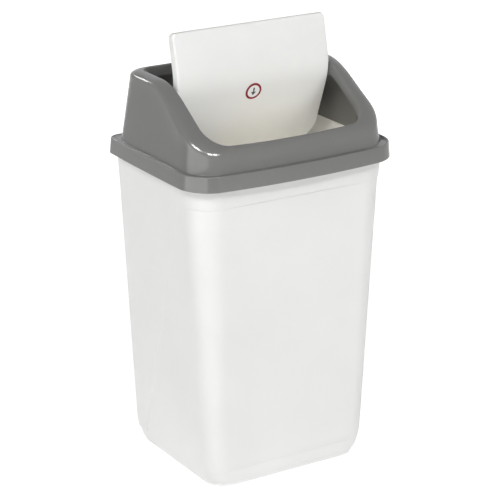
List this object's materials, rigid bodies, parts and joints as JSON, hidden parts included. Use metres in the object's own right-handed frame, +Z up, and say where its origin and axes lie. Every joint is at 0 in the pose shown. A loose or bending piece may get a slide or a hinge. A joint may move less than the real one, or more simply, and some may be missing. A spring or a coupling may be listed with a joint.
{
  "type": "recycling bin",
  "caption": "Tall plastic swing-top recycling bin: tapered body, lift-off hood with a wide sloping opening, and a bent flap that swings on pins.",
  "frame": {"origin": "centre of the plan outline, on the floor under the foot ring", "axes": "+Z up; -Y towards the low front of the hood; +X to the right as seen from behind the bin"},
  "size_m": [0.403, 0.3106, 0.7596],
  "materials": {
    "body_plastic": "fine satin",
    "lid_plastic": "fine satin",
    "flap_plastic": "fine satin",
    "label_film": "printed film"
  },
  "bodies": {
    "bin": {"bin_body": "body_plastic"},
    "lid": {"lid_hood": "lid_plastic"},
    "flap": {"swing_flap": "flap_plastic", "round_label": "label_film"}
  },
  "joints": [
    {"name": "lid_lift", "type": "slide", "parent": "bin", "child": "lid", "axis": [0, 0, 1], "range_m": [0, 0.15]},
    {"name": "flap_swing", "type": "hinge", "parent": "lid", "child": "flap", "pos_m": [0, 0.008, 0.6594], "axis": [1, 0, 0], "range_deg": [-76.7, 45]}
  ]
}
